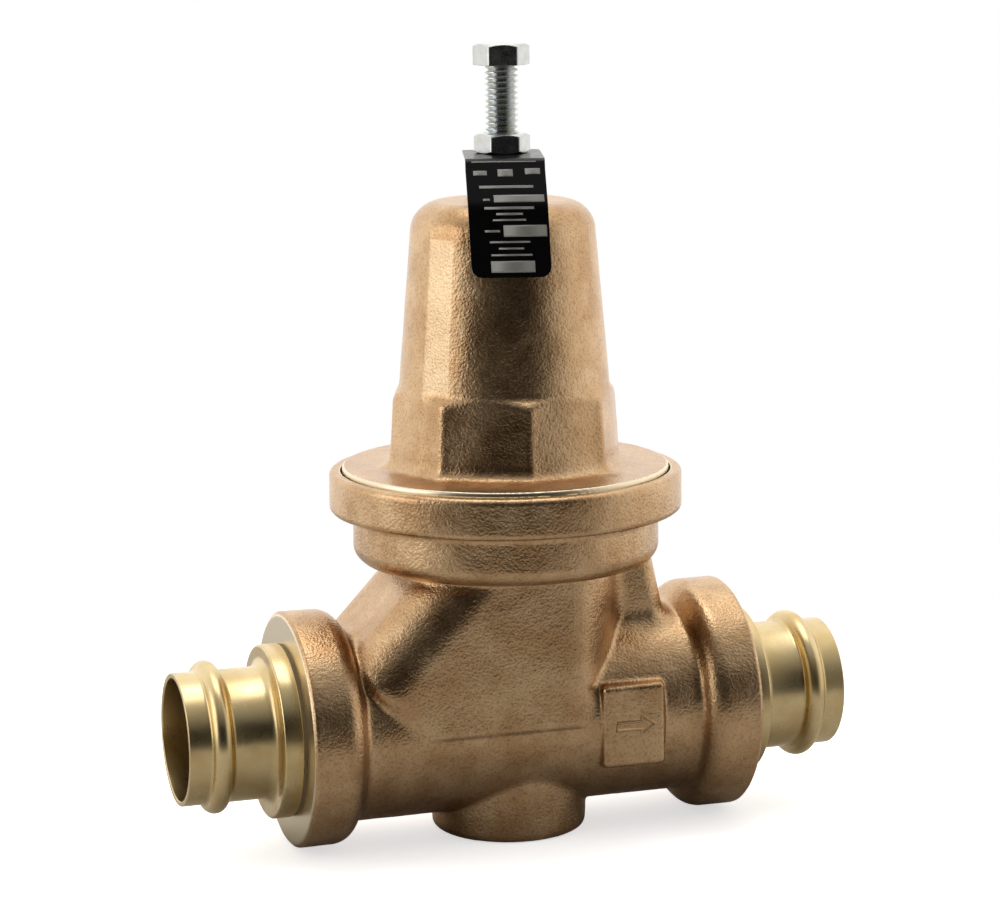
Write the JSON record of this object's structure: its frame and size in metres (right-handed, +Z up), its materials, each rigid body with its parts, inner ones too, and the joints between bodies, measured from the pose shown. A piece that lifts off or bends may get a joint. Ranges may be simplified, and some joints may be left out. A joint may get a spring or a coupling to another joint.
{
  "type": "pressure reducing valve",
  "caption": "Cast water pressure reducing valve: collared pipe body, octagonal bell bonnet with adjusting screw, lock nut and tag, and press sockets for copper tube.",
  "frame": {"origin": "centre of the underside of the round foot under the body, on the stem axis", "axes": "+Z up the stem and adjusting screw; +X along the pipe in the direction of flow, out of the outlet socket; -Y is the side with the flow arrow"},
  "size_m": [0.199, 0.102, 0.2285],
  "materials": {
    "cast_bronze": "sand-cast, satin",
    "machined_brass": "turned, satin",
    "zinc_plated_steel": "bright zinc plate",
    "black_plate": "gloss black",
    "rubber": "matte",
    "stainless_steel": "turned",
    "spring_steel": "oiled wire",
    "slip_plastic": "matte",
    "seal_fibre": "matte"
  },
  "bodies": {
    "root": {"body": "cast_bronze", "bonnet": "cast_bronze", "slip_ring": "slip_plastic", "diaphragm": "rubber", "stem_seal": "rubber", "cartridge_cage": "machined_brass", "cage_upper_seal": "rubber", "cage_lower_seal": "rubber", "valve_seat": "stainless_steel", "return_spring": "stainless_steel", "strainer": "stainless_steel", "inlet_press_end": "machined_brass", "outlet_press_end": "machined_brass", "inlet_face_seal": "seal_fibre", "outlet_face_seal": "seal_fibre", "inlet_press_ring": "rubber", "outlet_press_ring": "rubber"},
    "spring_button": {"upper_spring_button": "zinc_plated_steel", "adjusting_spring": "spring_steel"},
    "screw": {"adjusting_screw": "zinc_plated_steel"},
    "nut": {"lock_nut": "zinc_plated_steel"},
    "tag": {"nameplate": "black_plate"},
    "trim": {"stem": "stainless_steel", "stem_nut": "stainless_steel", "lower_spring_plate": "zinc_plated_steel", "diaphragm_washer": "machined_brass", "seat_disc": "rubber", "disc_holder": "machined_brass", "disc_nut": "stainless_steel"}
  },
  "joints": [
    {"name": "spring_button_slide", "type": "slide", "parent": "root", "child": "spring_button", "axis": [0, 0, 1], "range_m": [-0.01587, 0.00634], "deforming": ["adjusting_spring"]},
    {"name": "adjusting_screw_turn", "type": "hinge", "parent": "spring_button", "child": "screw", "pos_m": [0, 0, 0.2], "axis": [0, 0, 1], "range_deg": [-3600, 1440]},
    {"name": "lock_nut_turn", "type": "hinge", "parent": "root", "child": "nut", "pos_m": [0, 0, 0.2], "axis": [0, 0, 1], "range_deg": [0, 90]},
    {"name": "nameplate_swivel", "type": "hinge", "parent": "root", "child": "tag", "pos_m": [0, 0, 0.197], "axis": [0, 0, 1], "range_deg": [-180, 180]},
    {"name": "stem_slide", "type": "slide", "parent": "root", "child": "trim", "axis": [0, 0, 1], "range_m": [0, 0.004], "stiffness_N_per_m": 4000, "deforming": ["return_spring", "diaphragm"]}
  ],
  "couplings": [
    {"joint": "adjusting_screw_turn", "follows": "spring_button_slide", "rad_per_m": 3957.9}
  ]
}
